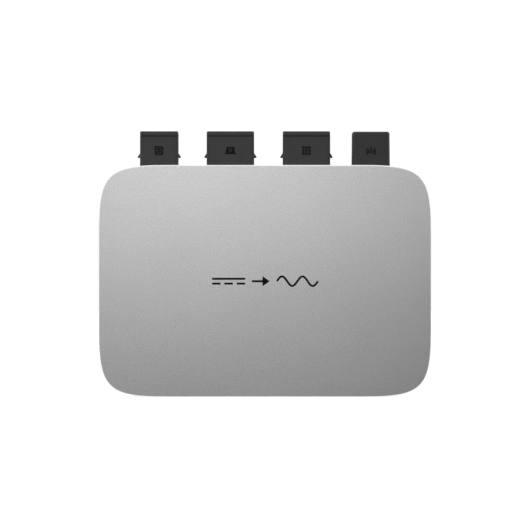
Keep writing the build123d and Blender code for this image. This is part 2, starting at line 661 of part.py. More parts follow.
def make_choke_windings():
    """The choke's two equal windings, one on each side."""
    layer = ring_winding(*CHOKE_PLACE, 13, 7, BOARD_BACK + 2, BOARD_BACK + 12, 50, 90)
    reach, half = 24, math.radians(25)
    wedge = Polygon((0, 0), (-reach * math.sin(half), -reach * math.cos(half)),
                    (reach * math.sin(half), -reach * math.cos(half)), align=None)
    layer -= along_y(Pos(*CHOKE_PLACE) * wedge, BOARD_BACK, BOARD_BACK + 15)
    return group(layer.solids())


def make_grid_relays():
    """Two sealed relays that part the inverter from the grid."""
    relays = []
    for x, z in RELAY_PLACES:
        case = block((x - 7.5, x + 7.5), (BOARD_BACK, BOARD_BACK + 15.5), (z - 9.5, z + 9.5))
        relays.append(fillet(case.faces().sort_by(Axis.Y)[-1].edges(), 0.8))
    return group(relays)


def make_fuse():
    """Glass fuse with two metal caps, modelled as one turned piece."""
    x, z = FUSE_PLACE
    tube = Pos(x, BOARD_BACK + 5, z) * Rot(0, 90, 0) * Cylinder(2.4, 9)
    for side in (-1, 1):
        tube += Pos(x + side * 7, BOARD_BACK + 5, z) * Rot(0, 90, 0) * Cylinder(2.6, 5)
    return tube


def make_fuse_clips():
    """Spring clips that hold the fuse's caps."""
    clips = []
    x, z = FUSE_PLACE
    for side in (-1, 1):
        middle = x + side * 7
        clip = block((middle - 2, middle + 2), (BOARD_BACK, BOARD_BACK + 7), (z - 3.2, z + 3.2))
        clip -= block((middle - 2, middle + 2), (BOARD_BACK + 0.8, BOARD_BACK + 8), (z - 2.62, z + 2.62))
        clips.append(clip)
    return group(clips)


def make_varistor():
    """Disc that swallows surges, with its epoxy coat."""
    x, z = VARISTOR_PLACE
    body = Pos(x, BOARD_BACK + 7.5, z) * Cylinder(6.5, 4.5)
    return fillet(body.edges(), 1.6) + Pos(x, BOARD_BACK + 1.5, z) * Box(5, 3, 3)


def make_power_transistors():
    """Eight flat power transistors on the rear wall, with leads bent forward to the board."""
    parts = []
    seat = TRAY_FLOOR - 0.4
    for x in TRANSISTOR_X:
        body = block((x - 7.8, x + 7.8), (seat - 5, seat), (TRANSISTOR_LOW, TRANSISTOR_LOW + 20))
        body = chamfer(body.faces().sort_by(Axis.Y)[0].edges(), 0.6)
        for k in (-1, 0, 1):
            lead_x = x + 5.4 * k
            body += block((lead_x - 0.6, lead_x + 0.6), (seat - 3, seat - 2.4),
                          (TRANSISTOR_LOW - 3.6, TRANSISTOR_LOW))
            body += block((lead_x - 0.6, lead_x + 0.6), (BOARD_BACK, seat - 2.4),
                          (TRANSISTOR_LOW - 4.2, TRANSISTOR_LOW - 3.6))
        parts.append(body)
    return group(parts)


def make_transistor_clamps():
    """Spring bars, each pressing two transistors against the rear wall."""
    clamps = []
    top = TRAY_FLOOR - 5.4
    for middle in transistor_places():
        clamp = block((middle - 17, middle + 17), (top - 1.2, top), (CLAMP_Z - 4, CLAMP_Z + 4))
        clamps.append(clamp - along_y(disc(middle, CLAMP_Z, M3 + 0.1), top - 2, top))
    return group(clamps)


def make_clamp_screws():
    """Screws that pull the clamp bars down."""
    screws = []
    top = TRAY_FLOOR - 5.4 - 1.2
    for middle in transistor_places():
        screw = along_y(disc(middle, CLAMP_Z, M3 - 0.02), top, TRAY_FLOOR + 2)
        screw += along_y(disc(middle, CLAMP_Z, 2.7), top - 2.4, top)
        screws.append(screw - along_y(Pos(middle, CLAMP_Z) * star(1.3), top - 2.4, top - 1))
    return group(screws)


def make_thermal_pads():
    """Soft pads that carry heat from the transistors and transformers to the rear wall."""
    pads = []
    for x in TRANSISTOR_X:
        height = (TRANSISTOR_LOW, TRANSISTOR_LOW + 20)
        pads.append(block((x - 8, x + 8), (TRAY_FLOOR - 0.4, TRAY_FLOOR), height))
    for x, z in TRANSFORMER_PLACES:
        pads.append(block((x - 18, x + 18), (PART_LIMIT, TRAY_FLOOR), (z - 10, z + 10)))
    return group(pads)


def make_control_board():
    """Daughter board with the controller, standing off the main board."""
    board = block(CONTROL_X, (CONTROL_FRONT, CONTROL_BACK), CONTROL_Z)
    return fillet(board.edges().filter_by(Axis.Y), 1.5)


def make_control_chips():
    """Controller, memory, driver chips and the radio's screening can."""
    middle = (CONTROL_X[0] + CONTROL_X[1]) / 2
    back = CONTROL_BACK
    chips = [block((middle - 7, middle + 7), (back, back + 1.4), (70, 84))]
    chips.append(block((middle - 9, middle + 9), (back, back + 2.6), (90, 106)))
    for k in range(2):
        x = middle - 8 + 11 * k
        chips.append(block((x, x + 5), (back, back + 1.6), (56, 62)))
    return group(chips)


def make_board_headers():
    """Pin headers between the main board and the daughter board."""
    headers = []
    for x in (CONTROL_X[0] + 3, CONTROL_X[1] - 3):
        headers.append(block((x - 1.25, x + 1.25), (BOARD_BACK, CONTROL_FRONT), (60, 102)))
    return group(headers)


# ---------------------------------------------------------------- write every node

os.makedirs("parts", exist_ok=True)

write("front_cover", make_front_cover())
write("rear_housing", make_rear_housing())
write("cover_gasket", make_cover_gasket())
write("cover_screws", make_cover_screws())
write("rating_label", make_rating_label())
write("vent_body", make_vent_body())
write("vent_membrane", make_vent_membrane())

for socket in SOCKET_X:
    write(f"{socket}_socket_shell", make_socket_shell(socket))
    write(f"{socket}_socket_core", make_socket_core(socket))
    write(f"{socket}_socket_contacts", make_socket_contacts(socket))
    write(f"{socket}_socket_seal", seal_ring(socket, 0.04))
    write(f"{socket}_flange_gasket", make_flange_gasket(SOCKET_X[socket], SOCKET_WIDTH[socket]))
    write(f"{socket}_leads", make_leads(socket))
write("port_screws", make_port_screws())

write("antenna_cap", make_antenna_cap())
write("antenna_flange_gasket", make_flange_gasket(ANTENNA_X, ANTENNA_WIDTH))
write("antenna_board", make_antenna_board())
write("antenna_track", make_antenna_track())
write("antenna_lead", make_antenna_lead())
write("status_light_pipe", make_light_pipe())
write("status_lamp", make_status_lamp())
write("tact_switch", make_tact_switch())
write("switch_plunger", make_switch_plunger())
write("pairing_button", make_pairing_button())
write("button_seal", make_button_seal())

write("main_board", make_main_board())
write("board_screws", make_board_screws())
write("dc_link_capacitors", make_dc_link_capacitors())
write("film_capacitors", make_film_capacitors())
transformers = [transformer_parts(x, z) for x, z in TRANSFORMER_PLACES]
for index, node in enumerate(("transformer_cores", "transformer_bobbins", "transformer_windings")):
    write(node, group(parts[index] for parts in transformers))
write("boost_inductor_cores", make_inductor_cores())
write("boost_inductor_windings", make_inductor_windings())
write("choke_core", make_choke_core())
write("choke_windings", make_choke_windings())
write("grid_relays", make_grid_relays())
write("fuse", make_fuse())
write("fuse_clips", make_fuse_clips())
write("varistor", make_varistor())
write("power_transistors", make_power_transistors())
write("transistor_clamps", make_transistor_clamps())
write("clamp_screws", make_clamp_screws())
write("thermal_pads", make_thermal_pads())
write("control_board", make_control_board())
write("control_chips", make_control_chips())
write("board_headers", make_board_headers())
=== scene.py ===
"""Looks of a flat micro inverter: blasted silver housing, matt black ports, generic marks, pale studio."""
import json
import math
import random

import bpy
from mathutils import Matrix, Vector


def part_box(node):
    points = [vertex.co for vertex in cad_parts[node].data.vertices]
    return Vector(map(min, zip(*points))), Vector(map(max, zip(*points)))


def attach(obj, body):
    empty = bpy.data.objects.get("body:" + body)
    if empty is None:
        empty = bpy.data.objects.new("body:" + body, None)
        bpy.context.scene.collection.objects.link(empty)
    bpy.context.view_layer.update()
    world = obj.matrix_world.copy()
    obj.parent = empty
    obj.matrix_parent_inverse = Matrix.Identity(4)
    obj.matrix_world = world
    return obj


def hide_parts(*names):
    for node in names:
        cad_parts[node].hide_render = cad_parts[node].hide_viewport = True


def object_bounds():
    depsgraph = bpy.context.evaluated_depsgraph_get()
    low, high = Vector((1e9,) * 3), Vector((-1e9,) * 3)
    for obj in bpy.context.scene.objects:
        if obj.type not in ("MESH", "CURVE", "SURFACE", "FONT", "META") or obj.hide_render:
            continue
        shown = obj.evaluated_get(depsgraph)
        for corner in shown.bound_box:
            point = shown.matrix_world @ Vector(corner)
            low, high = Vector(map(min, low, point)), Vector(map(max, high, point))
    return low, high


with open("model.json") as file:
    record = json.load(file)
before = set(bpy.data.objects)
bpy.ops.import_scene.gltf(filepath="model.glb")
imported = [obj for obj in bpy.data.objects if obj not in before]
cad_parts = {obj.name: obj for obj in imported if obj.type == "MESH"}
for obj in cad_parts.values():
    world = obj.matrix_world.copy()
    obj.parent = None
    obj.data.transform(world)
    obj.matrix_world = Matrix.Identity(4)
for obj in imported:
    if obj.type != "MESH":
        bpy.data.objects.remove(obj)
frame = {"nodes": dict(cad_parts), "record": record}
cad_low, cad_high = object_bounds()
nodes = frame["nodes"]
MM = 0.001


# ---------------------------------------------------------------- shader helpers

MIX_FACTOR, MIX_FIRST_COLOR, MIX_SECOND_COLOR, MIX_COLOR_RESULT = 0, 6, 7, 2   # sockets of a Mix node
MIX_FIRST_NUMBER, MIX_SECOND_NUMBER, MIX_NUMBER_RESULT = 2, 3, 0
WAVE_NODE_RATE = 20.0            # a Wave node at scale 1 turns through 20 radians in a unit


class Surface:
    """A Principled material whose fine detail is built from noise in the part's own coordinates."""

    def __init__(self, name, metallic=0.0, specular=0.5, ior=1.5, coat=0.0, coat_roughness=0.1,
                 sheen=0.0, transmission=0.0):
        self.material = bpy.data.materials.new(name)
        self.material.use_nodes = True
        self.tree = self.material.node_tree
        self.tree.nodes.clear()
        self.output = self.tree.nodes.new("ShaderNodeOutputMaterial")
        self.shader = self.tree.nodes.new("ShaderNodeBsdfPrincipled")
        self.tree.links.new(self.shader.outputs["BSDF"], self.output.inputs["Surface"])
        self.coords = self.tree.nodes.new("ShaderNodeTexCoord").outputs["Object"]
        for socket, value in (("Metallic", metallic), ("Specular IOR Level", specular), ("IOR", ior),
                              ("Coat Weight", coat), ("Coat Roughness", coat_roughness),
                              ("Sheen Weight", sheen), ("Transmission Weight", transmission)):
            self.shader.inputs[socket].default_value = value
        self.heights = None

    def add(self, kind, **settings):
        """A new node of a kind, with its settings."""
        node = self.tree.nodes.new(kind)
        for key, value in settings.items():
            setattr(node, key, value)
        return node

    def put(self, value, socket):
        """Links an output to a socket, or sets it to a plain value."""
        if isinstance(value, bpy.types.NodeSocket):
            self.tree.links.new(value, socket)
        else:
            socket.default_value = value

    def stretched(self, factors):
        """Coordinates stretched along the axes, for marks that run one way."""
        node = self.add("ShaderNodeMapping")
        self.put(self.coords, node.inputs["Vector"])
        node.inputs["Scale"].default_value = factors
        return node.outputs["Vector"]

    def noise(self, size, detail=2.0, roughness=0.5, coords=None):
        """Noise whose features are about size metres across."""
        node = self.add("ShaderNodeTexNoise")
        self.put(coords or self.coords, node.inputs["Vector"])
        node.inputs["Scale"].default_value = 1.0 / size
        node.inputs["Detail"].default_value = detail
        node.inputs["Roughness"].default_value = roughness
        return node.outputs["Fac"]

    def cells(self, size, feature="F1", randomness=1.0, metric="EUCLIDEAN"):
        """Cell pattern with cells about size metres across."""
        node = self.add("ShaderNodeTexVoronoi", feature=feature, distance=metric)
        self.put(self.coords, node.inputs["Vector"])
        node.inputs["Scale"].default_value = 1.0 / size
        node.inputs["Randomness"].default_value = randomness
        return node.outputs["Distance"]

    def bands(self, size, direction):
        """Regular bands, size metres from one to the next."""
        node = self.add("ShaderNodeTexWave", bands_direction=direction)
        self.put(self.coords, node.inputs["Vector"])
        node.inputs["Scale"].default_value = math.tau / (WAVE_NODE_RATE * size)
        return node.outputs["Fac"]

    def spread(self, value, low, high, start=0.0, end=1.0):
        """Value remapped from start..end to low..high, and held there."""
        node = self.add("ShaderNodeMapRange")
        self.put(value, node.inputs["Value"])
        for socket, number in (("From Min", start), ("From Max", end), ("To Min", low), ("To Max", high)):
            self.put(number, node.inputs[socket])
        return node.outputs["Result"]

    def combine(self, a, b, operation):
        """Result of a Math node on two values."""
        node = self.add("ShaderNodeMath", operation=operation)
        self.put(a, node.inputs[0])
        self.put(b, node.inputs[1])
        return node.outputs["Value"]

    def blend(self, factor, a, b):
        """Mix of two colours."""
        node = self.add("ShaderNodeMix", data_type="RGBA")
        self.put(factor, node.inputs[MIX_FACTOR])
        self.put(a, node.inputs[MIX_FIRST_COLOR])
        self.put(b, node.inputs[MIX_SECOND_COLOR])
        return node.outputs[MIX_COLOR_RESULT]

    def color(self, value):
        self.put(value, self.shader.inputs["Base Color"])

    def rough(self, value):
        self.put(value, self.shader.inputs["Roughness"])

    def bump(self, height, depth):
        """Adds a bump of depth metres; later calls stand on earlier ones."""
        node = self.add("ShaderNodeBump")
        node.inputs["Distance"].default_value = depth
        self.put(height, node.inputs["Height"])
        if self.heights is not None:
            self.put(self.heights, node.inputs["Normal"])
        self.heights = node.outputs["Normal"]
        self.put(self.heights, self.shader.inputs["Normal"])

    def facing(self, axis):
        """How squarely the surface faces along an axis of the part, from 0 to 1."""
        split = self.add("ShaderNodeSeparateXYZ")
        texture = self.add("ShaderNodeTexCoord")
        self.put(texture.outputs["Normal"], split.inputs["Vector"])
        absolute = self.add("ShaderNodeMath", operation="ABSOLUTE")
        self.put(split.outputs[axis], absolute.inputs[0])
        return absolute.outputs["Value"]


def grey(level, tint=(1.0, 1.0, 1.0)):
    """A grey, or one drawn a little towards a tint."""
    return (level * tint[0], level * tint[1], level * tint[2], 1.0)


def times(base, factor):
    """A colour made lighter or darker, up to full brightness."""
    return tuple(min(1.0, channel * factor) for channel in base[:3]) + (1.0,)


def tone(surface, base, spread, size):
    """Base colour that drifts by a share of itself, in patches about size metres across."""
    drift = surface.noise(size, detail=3.0)
    return surface.blend(drift, times(base, 1 - spread), times(base, 1 + spread))


# ---------------------------------------------------------------- materials
# Sizes of patterns and depths of bumps are in metres.

def blasted_aluminium(name, base, roughness, grain, contrast, edge_bright):
    """Bead-blasted and anodised aluminium, with a finely turned bright chamfer where edge_bright is set."""
    s = Surface(name, metallic=1.0, specular=0.5)
    fine = s.noise(grain, detail=2.0, roughness=0.6)
    coarse = s.noise(grain * 4.0, detail=2.0, roughness=0.5)
    cloud = s.noise(0.05, detail=3.0)
    speckle = s.spread(fine, 1 - contrast, 1 + contrast, 0.2, 0.8)
    mottling = s.spread(coarse, 0.99, 1.01, 0.3, 0.7)
    clouds = s.spread(cloud, 0.985, 1.015, 0.3, 0.7)
    level = s.combine(s.combine(speckle, mottling, "MULTIPLY"), clouds, "MULTIPLY")
    shade = s.add("ShaderNodeCombineColor")
    for channel, value in zip(("Red", "Green", "Blue"), base):
        s.put(s.combine(level, value, "MULTIPLY"), shade.inputs[channel])
    rough = s.spread(fine, roughness - 0.03, roughness + 0.03, 0.3, 0.7)
    color = shade.outputs["Color"]
    if edge_bright:
        squareness = s.facing("Y")
        above = s.spread(squareness, 0.0, 1.0, 0.35, 0.6)
        below = s.spread(squareness, 1.0, 0.0, 0.85, 0.97)
        edge = s.combine(above, below, "MULTIPLY")
        color = s.blend(edge, color, (edge_bright,) * 3 + (1.0,))
        rough = s.spread(edge, rough, 0.24)
    s.color(color)
    s.rough(rough)
    s.bump(fine, 0.000006)
    s.bump(s.cells(grain * 1.4), 0.000004)
    return s.material


def moulded_plastic(name, base, roughness, texture=0.00025, depth=0.000012, spread=0.08, specular=0.5):
    """Moulded plastic with a fine spark-eroded texture and a slight drift of tone."""
    s = Surface(name, specular=specular)
    s.color(tone(s, base, spread, 0.004))
    s.rough(s.spread(s.noise(0.0016, 3.0), roughness - 0.05, roughness + 0.05, 0.3, 0.7))
    s.bump(s.noise(texture, 3.0, 0.6), depth)
    s.bump(s.noise(0.012, 2.0), 0.00004)
    return s.material


def plated_metal(name, base, roughness, marks=(1.0, 1.0, 12.0)):
    """Plated metal with fine drawing marks."""
    s = Surface(name, metallic=1.0)
    s.color(tone(s, base, 0.07, 0.003))
    streaks = s.noise(0.0009, 3.0, coords=s.stretched(marks))
    s.rough(s.spread(streaks, roughness - 0.07, roughness + 0.09, 0.3, 0.7))
    s.bump(streaks, 0.000004)
    return s.material


def soft_rubber(name, base, roughness=0.75):
    """Matt silicone rubber with a dusty bloom."""
    s = Surface(name, specular=0.35, sheen=0.15)
    s.color(tone(s, base, 0.2, 0.002))
    s.rough(s.spread(s.noise(0.001, 2.0), roughness - 0.06, roughness + 0.08, 0.3, 0.7))
    s.bump(s.noise(0.0003, 2.0), 0.00001)
    return s.material


def solder_resist(name):
    """Green solder resist over copper areas with square-cut edges, fine parallel tracks and tinned vias."""
    s = Surface(name, specular=0.5, coat=0.4, coat_roughness=0.25)
    near = s.cells(0.014, "F1", randomness=0.9, metric="MANHATTAN")
    far = s.cells(0.014, "F2", randomness=0.9, metric="MANHATTAN")
    pour = s.spread(s.combine(far, near, "SUBTRACT"), 0.0, 1.0, 0.05, 0.07)
    tracks = s.spread(s.bands(0.0011, "X"), 0.0, 1.0, 0.42, 0.58)
    zone = s.spread(s.cells(0.024, randomness=0.8, metric="CHEBYCHEV"), 1.0, 0.0, 0.30, 0.31)
    copper = s.blend(zone, pour, tracks)
    resist = s.blend(copper, (0.005, 0.050, 0.020, 1), (0.012, 0.110, 0.042, 1))
    via = s.spread(s.cells(0.005, randomness=0.9), 1.0, 0.0, 0.055, 0.07)
    s.color(s.blend(via, resist, (0.62, 0.60, 0.55, 1)))
    s.rough(s.spread(s.noise(0.002, 2.0), 0.28, 0.4))
    s.bump(copper, 0.00003)
    s.bump(s.bands(0.0005, "X"), 0.000004)
    return s.material


def wound_wire(name, base, pitch, direction, roughness=0.3, coat=0.6):
    """Closely laid turns of enamelled wire or tape, with painted shade darkening the grooves between turns.
    """
    s = Surface(name, metallic=0.9, coat=coat, coat_roughness=0.15)
    turns = s.bands(pitch, direction)
    # Painted shade: the colour falls to under half of the base in the grooves between turns, where the bump
    # is lowest.
    s.color(s.blend(s.spread(turns, 0.0, 1.0, 0.05, 0.6), times(base, 0.45), base))
    s.rough(s.spread(s.noise(0.001), roughness - 0.06, roughness + 0.06))
    s.bump(turns, 0.0003)
    return s.material


def sintered(name, base, roughness=0.6):
    """Pressed and fired powder: a fine dark grain with pale specks."""
    s = Surface(name, specular=0.4)
    specks = s.spread(s.cells(0.0005), 1.0, 0.0, 0.05, 0.22)
    s.color(s.blend(specks, base, times(base, 2.2)))
    s.rough(s.spread(s.noise(0.0006), roughness - 0.1, roughness + 0.1))
    s.bump(s.noise(0.0004, 3.0), 0.00002)
    return s.material


def glossy_case(name, base, roughness=0.22, coat=0.3, end=None):
    """Smooth cast or dipped case with a faint orange peel, and bare metal colour on the ends if given."""
    s = Surface(name, specular=0.5, coat=coat, coat_roughness=0.12)
    color = tone(s, base, 0.08, 0.003)
    if end:
        color = s.blend(s.spread(s.facing("Y"), 0.0, 1.0, 0.9, 0.95), color, end)
    s.color(color)
    s.rough(s.spread(s.noise(0.0012, 2.0), roughness - 0.05, roughness + 0.06))
    s.bump(s.noise(0.0015, 2.0), 0.00003)
    return s.material


def frosted_clear(name):
    """Frosted clear plastic."""
    s = Surface(name, transmission=0.75, ior=1.58)
    s.color(tone(s, (0.86, 0.9, 0.9, 1), 0.03, 0.002))
    s.rough(s.spread(s.noise(0.0006), 0.35, 0.5))
    s.bump(s.noise(0.0004), 0.00002)
    return s.material


def printed_ink(name, base, roughness=0.6):
    """Pad-printed ink with slightly uneven cover."""
    s = Surface(name, specular=0.15)
    s.color(tone(s, base, 0.25, 0.0008))
    s.rough(s.spread(s.noise(0.0007, 2.0), roughness - 0.08, roughness + 0.08))
    s.bump(s.noise(0.0004), 0.000006)
    return s.material


BLACK = grey(0.050, (1.0, 1.0, 1.01))
materials = {
    "cover_aluminium": blasted_aluminium("cover_aluminium", (0.81, 0.81, 0.81), 0.46, 0.00065, 0.30, 0.97),
    "cast_aluminium": blasted_aluminium("cast_aluminium", (0.60, 0.60, 0.605), 0.52, 0.0006, 0.16, 0.0),
    "black_plastic": moulded_plastic("black_plastic", BLACK, 0.50, specular=0.45),
    "radome_plastic": moulded_plastic("radome_plastic", grey(0.041), 0.52, specular=0.45),
    "insulator_plastic": moulded_plastic("insulator_plastic", grey(0.03), 0.45),
    "button_plastic": moulded_plastic("button_plastic", grey(0.035), 0.36, texture=0.0004),
    "bobbin_plastic": moulded_plastic("bobbin_plastic", grey(0.03), 0.4),
    "header_plastic": moulded_plastic("header_plastic", grey(0.02), 0.45),
    "transistor_epoxy": moulded_plastic("transistor_epoxy", grey(0.025), 0.55),
    "chip_epoxy": moulded_plastic("chip_epoxy", grey(0.025), 0.5),
    "lead_black": moulded_plastic("lead_black", grey(0.02), 0.45),
    "lead_grey": moulded_plastic("lead_grey", grey(0.3), 0.45),
    "lead_red": moulded_plastic("lead_red", (0.42, 0.02, 0.015, 1), 0.42),
    "label_film": moulded_plastic("label_film", grey(0.62), 0.34, texture=0.0006, depth=0.000004,
                                  spread=0.02),
    "membrane_film": moulded_plastic("membrane_film", grey(0.8), 0.6),
    "screw_steel": plated_metal("screw_steel", grey(0.62, (1.0, 0.99, 0.96)), 0.34),
    "spring_steel": plated_metal("spring_steel", grey(0.66), 0.3),
    "contact_metal": plated_metal("contact_metal", (0.78, 0.56, 0.26, 1), 0.28),
    "copper_track": plated_metal("copper_track", (0.78, 0.42, 0.26, 1), 0.3),
    "gasket_rubber": soft_rubber("gasket_rubber", grey(0.02)),
    "seal_rubber": soft_rubber("seal_rubber", grey(0.028), 0.75),
    "pad_silicone": soft_rubber("pad_silicone", (0.3, 0.36, 0.46, 1), 0.8),
    "board_laminate": solder_resist("board_laminate"),
    "enamelled_copper": wound_wire("enamelled_copper", (0.62, 0.2, 0.07, 1), 0.0014, "DIAGONAL"),
    "winding_tape": wound_wire("winding_tape", (0.55, 0.38, 0.05, 1), 0.0016, "Y", 0.35, 0.2),
    "ferrite": sintered("ferrite", grey(0.045)),
    "powder_core": sintered("powder_core", (0.05, 0.11, 0.2, 1), 0.5),
    "capacitor_sleeve": glossy_case("capacitor_sleeve", (0.012, 0.014, 0.035, 1), end=grey(0.5)),
    "film_box": glossy_case("film_box", (0.42, 0.3, 0.04, 1), 0.35),
    "relay_case": glossy_case("relay_case", (0.03, 0.04, 0.07, 1), 0.3),
    "fuse_glass": glossy_case("fuse_glass", grey(0.7), 0.2),
    "varistor_epoxy": glossy_case("varistor_epoxy", (0.03, 0.09, 0.3, 1), 0.3),
    "switch_plastic": glossy_case("switch_plastic", grey(0.02), 0.3),
    "plunger_plastic": glossy_case("plunger_plastic", (0.3, 0.22, 0.14, 1), 0.3),
    "lamp_plastic": glossy_case("lamp_plastic", (0.7, 0.68, 0.55, 1), 0.25),
    "clear_plastic": frosted_clear("clear_plastic"),
    "solder": plated_metal("solder", grey(0.66, (0.98, 1.0, 1.02)), 0.3, (1.0, 1.0, 1.0)),
    "chip_ceramic": glossy_case("chip_ceramic", (0.30, 0.20, 0.12, 1), 0.4, 0.0),
}
OWN_FINISH = {"antenna_cap": "radome_plastic"}   # a shade darker than the sockets
for part in frame["record"]["subparts"]:
    mesh = nodes[part["node"]].data
    if not mesh.materials:
        mesh.materials.append(None)
    for index in range(len(mesh.materials)):
        mesh.materials[index] = materials[OWN_FINISH.get(part["node"], part["material_slot"])]


# ---------------------------------------------------------------- printed marks

INK_HEIGHT = 0.03 * MM           # ink above the face
INK_SINK = 0.01 * MM             # ink below it, so that no gap shows
ICON_RISE = 10.7 * MM            # middle of the pictograms over the cover's upper edge
SEAL_SINK = -0.04 * MM           # the ports' front faces, from the seals' front

# The front mark and the label, in millimetres
MARK_HALF, MARK_GAP, MARK_STROKE, MARK_RISE = 38.4, 1.75, 1.5, 8.4
LINE_LENGTH = 24
DASHES, DASH_PITCH, DASH_LENGTH = 3, 8.9, 6.2
ARROW_START, ARROW_BARB, ARROW_TIP, ARROW_HALF = -9.6, -1.8, 3.4, 3.7
WAVE_START, WAVE_TURNS, WAVE_STEPS = 8.6, 2, 120
LABEL_WIDTH, LABEL_HEIGHT, LABEL_LINE = 62, 36, 0.5
ROW_PITCH, ROW_LENGTH, ROW_STROKE = 5.5, 56, 0.45
POST_X, POST_HEIGHT, POST_STROKE = -8, 4.2, 0.4

INK = {"mark_ink": printed_ink("mark_ink", grey(0.004)), "icon_ink": printed_ink("icon_ink", grey(0.006)),
       "ruling_ink": printed_ink("ruling_ink", grey(0.03))}


def circle(x, z, radius, steps=32):
    """Outline of a circle."""
    return [(x + radius * math.cos(2 * math.pi * k / steps), z + radius * math.sin(2 * math.pi * k / steps))
            for k in range(steps)]


def rounded(x, z, width, height, radius, steps=6):
    """Outline of a rounded rectangle centred on x, z."""
    points = []
    for quarter, (sx, sz) in enumerate(((1, 1), (-1, 1), (-1, -1), (1, -1))):
        cx, cz = x + sx * (width / 2 - radius), z + sz * (height / 2 - radius)
        for k in range(steps + 1):
            angle = math.pi / 2 * (quarter + k / steps)
            points.append((cx + radius * math.cos(angle), cz + radius * math.sin(angle)))
    return points


def ribbon(path, width):
    """Outline of a line of even width along a path of points."""
    left, right = [], []
    for k, (x, z) in enumerate(path):
        x0, z0 = path[max(k - 1, 0)]
        x1, z1 = path[min(k + 1, len(path) - 1)]
        length = math.hypot(x1 - x0, z1 - z0)
        nx, nz = -(z1 - z0) / length, (x1 - x0) / length
        left.append((x + nx * width / 2, z + nz * width / 2))
        right.append((x - nx * width / 2, z - nz * width / 2))
    return left + right[::-1]


def arc(x, z, radius, start, end, width, steps=16):
    """Outline of an arc of a ring, in degrees."""
    path = []
    for k in range(steps + 1):
        angle = math.radians(start + (end - start) * k / steps)
        path.append((x + radius * math.cos(angle), z + radius * math.sin(angle)))
    return ribbon(path, width)


def printed(name, loops, face_y, slot, toward=-1):
    """A thin printed piece on a face that looks along Y. Loops inside loops are holes."""
    curve = bpy.data.curves.new(name + "_outline", "CURVE")
    curve.dimensions = "2D"
    curve.fill_mode = "BOTH"
    curve.extrude = (INK_HEIGHT + INK_SINK) / 2
    for loop in loops:
        spline = curve.splines.new("POLY")
        spline.points.add(len(loop) - 1)
        for point, (x, z) in zip(spline.points, loop):
            point.co = (x, z, 0, 1)
        spline.use_cyclic_u = True
    source = bpy.data.objects.new(name + "_source", curve)
    bpy.context.scene.collection.objects.link(source)
    bpy.context.view_layer.update()
    mesh = bpy.data.meshes.new_from_object(source.evaluated_get(bpy.context.evaluated_depsgraph_get()))
    bpy.data.objects.remove(source)
    middle = face_y + toward * (INK_HEIGHT - INK_SINK) / 2
    for vertex in mesh.vertices:
        x, z, y = vertex.co
        vertex.co = (x, middle - y, z)
    mesh.materials.clear()
    mesh.materials.append(INK[slot])
    piece = bpy.data.objects.new(name, mesh)
    bpy.context.scene.collection.objects.link(piece)
    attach(piece, "housing")


def scaled(loops, x, z):
    """Loops drawn in millimetres, set down at x, z in metres."""
    return [[(x + px * MM, z + pz * MM) for px, pz in loop] for loop in loops]


def make_front_mark():
    """Generic direct-to-alternating-current mark: a flat line over dashes, an arrow, and a sine wave."""
    low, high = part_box("front_cover")
    middle = (low.x + high.x) / 2, (low.z + high.z) / 2
    line = ribbon([(-MARK_HALF, MARK_GAP), (-MARK_HALF + LINE_LENGTH, MARK_GAP)], MARK_STROKE)
    dashes = []
    for k in range(DASHES):
        start = -MARK_HALF + DASH_PITCH * k
        dashes.append(ribbon([(start, -MARK_GAP), (start + DASH_LENGTH, -MARK_GAP)], MARK_STROKE))
    half = MARK_STROKE / 2
    arrow = [(ARROW_START, half), (ARROW_BARB, half), (ARROW_BARB, ARROW_HALF), (ARROW_TIP, 0),
             (ARROW_BARB, -ARROW_HALF), (ARROW_BARB, -half), (ARROW_START, -half)]
    wave = []
    for k in range(WAVE_STEPS + 1):
        share = k / WAVE_STEPS
        height = (MARK_RISE - MARK_STROKE) / 2 * math.sin(2 * math.pi * WAVE_TURNS * share)
        wave.append((WAVE_START + (MARK_HALF - WAVE_START) * share, height))
    loops = [line, *dashes, arrow, ribbon(wave, MARK_STROKE)]
    printed("front_mark", scaled(loops, *middle), low.y, "mark_ink")


def make_icons():
    """Generic pictograms: mains outlet, storage pack, panel cells and radio, drawn in millimetres."""
    socket = [rounded(0, 0, 6.4, 6.4, 1.2), circle(0, 0, 2.35), circle(0, 0, 1.9),
              circle(-0.75, 0, 0.4, 16), circle(0.75, 0, 0.4, 16)]
    pack = [[(-2.9, 2.6), (2.9, 2.6), (3.3, -1.7), (4.2, -1.7), (4.2, -2.6), (-4.2, -2.6), (-4.2, -1.7),
             (-3.3, -1.7)], circle(0, 0.4, 1.2, 24), circle(0, 0.4, 0.75, 24)]
    cells = [rounded(2.2 * i, 2.2 * j, 1.8, 1.8, 0.35) for i in (-1, 0, 1) for j in (-1, 0, 1)]
    radio = [ribbon([(0, 0.1), (0, 3.0)], 0.75), circle(0, -0.95, 0.75, 20)]
    for side in (0, 180):
        radio.append(arc(0, -0.6, 1.9, side - 46, side + 46, 0.7))
        radio.append(arc(0, -0.6, 3.2, side - 46, side + 46, 0.7))
    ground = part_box("front_cover")[1].z
    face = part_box("ac_socket_seal")[0].y + SEAL_SINK
    for name, node, loops in (("icon_mains", "ac_socket_shell", socket),
                              ("icon_storage", "battery_socket_shell", pack),
                              ("icon_panel", "solar_socket_shell", cells),
                              ("icon_radio", "antenna_cap", radio)):
        low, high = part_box(node)
        printed(name, scaled(loops, (low.x + high.x) / 2, ground + ICON_RISE), face, "icon_ink")


